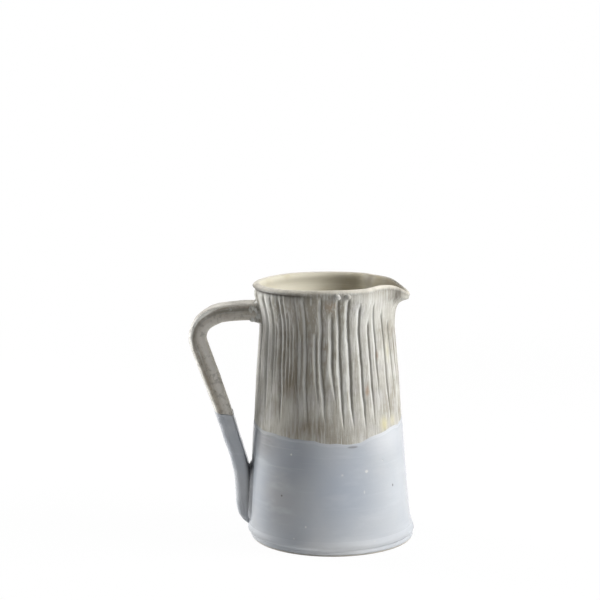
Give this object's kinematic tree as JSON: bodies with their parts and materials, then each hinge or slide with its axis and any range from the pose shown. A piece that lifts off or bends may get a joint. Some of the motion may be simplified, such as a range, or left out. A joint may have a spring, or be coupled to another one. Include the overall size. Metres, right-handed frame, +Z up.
{
  "type": "stoneware jug",
  "caption": "Hand-thrown stoneware jug with a tapered fluted wall, rolled rim, pulled pouring lip and strap handle, glazed inside and dipped below.",
  "frame": {"origin": "middle of the foot ring's lower face, on the axis of the thrown body", "axes": "+Z up along the body's axis, +X towards the pouring lip, the handle on -X, +Y across"},
  "size_m": [0.1723, 0.1286, 0.2],
  "materials": {
    "fluted_clay": "dry matte stoneware with a thin pale wash on its ridges",
    "bare_clay": "bare fired clay",
    "joint_clay": "rough smeared clay",
    "dip_glaze": "glossy blue-grey glaze with pinholes",
    "liner_glaze": "satin cream glaze"
  },
  "bodies": {
    "root": {"body_wall": "fluted_clay", "base_disc": "bare_clay", "handle_strap": "fluted_clay", "upper_collar": "joint_clay", "lower_pad": "joint_clay", "body_dip_glaze": "dip_glaze", "handle_dip_glaze": "dip_glaze", "liner_glaze": "liner_glaze"}
  },
  "joints": []
}
